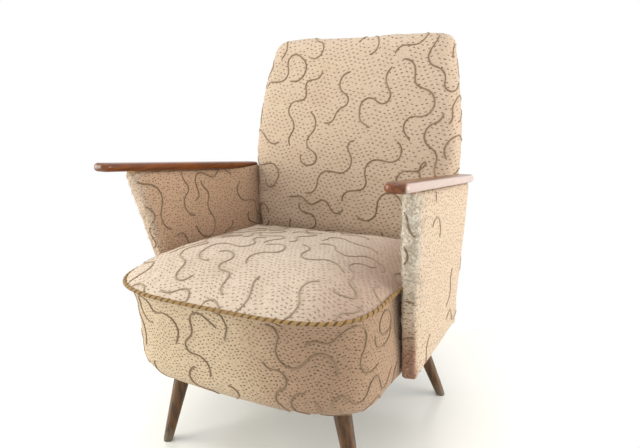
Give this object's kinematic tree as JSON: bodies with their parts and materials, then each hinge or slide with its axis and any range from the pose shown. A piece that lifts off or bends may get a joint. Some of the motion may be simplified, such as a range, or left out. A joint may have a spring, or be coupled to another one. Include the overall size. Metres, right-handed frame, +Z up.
{
  "type": "armchair",
  "caption": "Worn bow-fronted armchair with a sagging sprung seat, a curved raked back, thin leaning arms with wooden armrests, and splayed turned legs.",
  "frame": {"origin": "on the floor, below the middle of the chair's box", "axes": "+X to the right of someone facing the chair, +Y from the front to the back, +Z up"},
  "size_m": [0.6724, 0.748, 0.8782],
  "materials": {
    "cover_cloth": "pinkish beige boucle furnishing cloth with small brown flecks and brown curling lines, worn and linty on the right arm's front",
    "piping_cord": "twisted gold-brown piping cord",
    "varnished_wood": "mid-brown satin varnish with worn edges",
    "leg_wood": "dark brown varnish, worn grey at the feet",
    "beech_frame": "bare sawn beech",
    "jute": "plain woven jute",
    "lining_cloth": "thin black lining cloth",
    "spring_steel": "drawn spring wire, dulled",
    "bolt_steel": "plain steel"
  },
  "bodies": {
    "root": {"seat_bow_rail": "beech_frame", "seat_rear_rail": "beech_frame", "seat_side_rail_left": "beech_frame", "seat_side_rail_right": "beech_frame", "seat_border": "cover_cloth", "seat_pad": "cover_cloth", "seat_piping": "piping_cord", "spring_cover": "jute", "dust_cover": "lining_cloth", "seat_webbing_long_1": "jute", "seat_webbing_long_2": "jute", "seat_webbing_long_3": "jute", "seat_webbing_cross_1": "jute", "seat_webbing_cross_2": "jute", "seat_webbing_cross_3": "jute", "seat_spring_1": "spring_steel", "seat_spring_2": "spring_steel", "seat_spring_3": "spring_steel", "seat_spring_4": "spring_steel", "seat_spring_5": "spring_steel", "seat_spring_6": "spring_steel", "seat_spring_7": "spring_steel", "seat_spring_8": "spring_steel", "seat_spring_9": "spring_steel", "back_pad": "cover_cloth", "back_panel": "cover_cloth", "back_top_rail": "beech_frame", "back_low_rail": "beech_frame", "back_post_left": "beech_frame", "back_post_right": "beech_frame", "back_webbing_1": "jute", "back_webbing_2": "jute", "back_webbing_3": "jute", "arm_frame_left": "beech_frame", "arm_frame_right": "beech_frame", "arm_pad_left": "cover_cloth", "arm_pad_right": "cover_cloth", "armrest_left": "varnished_wood", "armrest_right": "varnished_wood", "armrest_dowel_left_1": "beech_frame", "armrest_dowel_left_2": "beech_frame", "armrest_dowel_right_1": "beech_frame", "armrest_dowel_right_2": "beech_frame", "arm_bolt_left_1": "bolt_steel", "arm_bolt_left_2": "bolt_steel", "arm_bolt_right_1": "bolt_steel", "arm_bolt_right_2": "bolt_steel", "leg_front_left": "leg_wood", "leg_front_right": "leg_wood", "leg_rear_left": "leg_wood", "leg_rear_right": "leg_wood"}
  },
  "joints": []
}
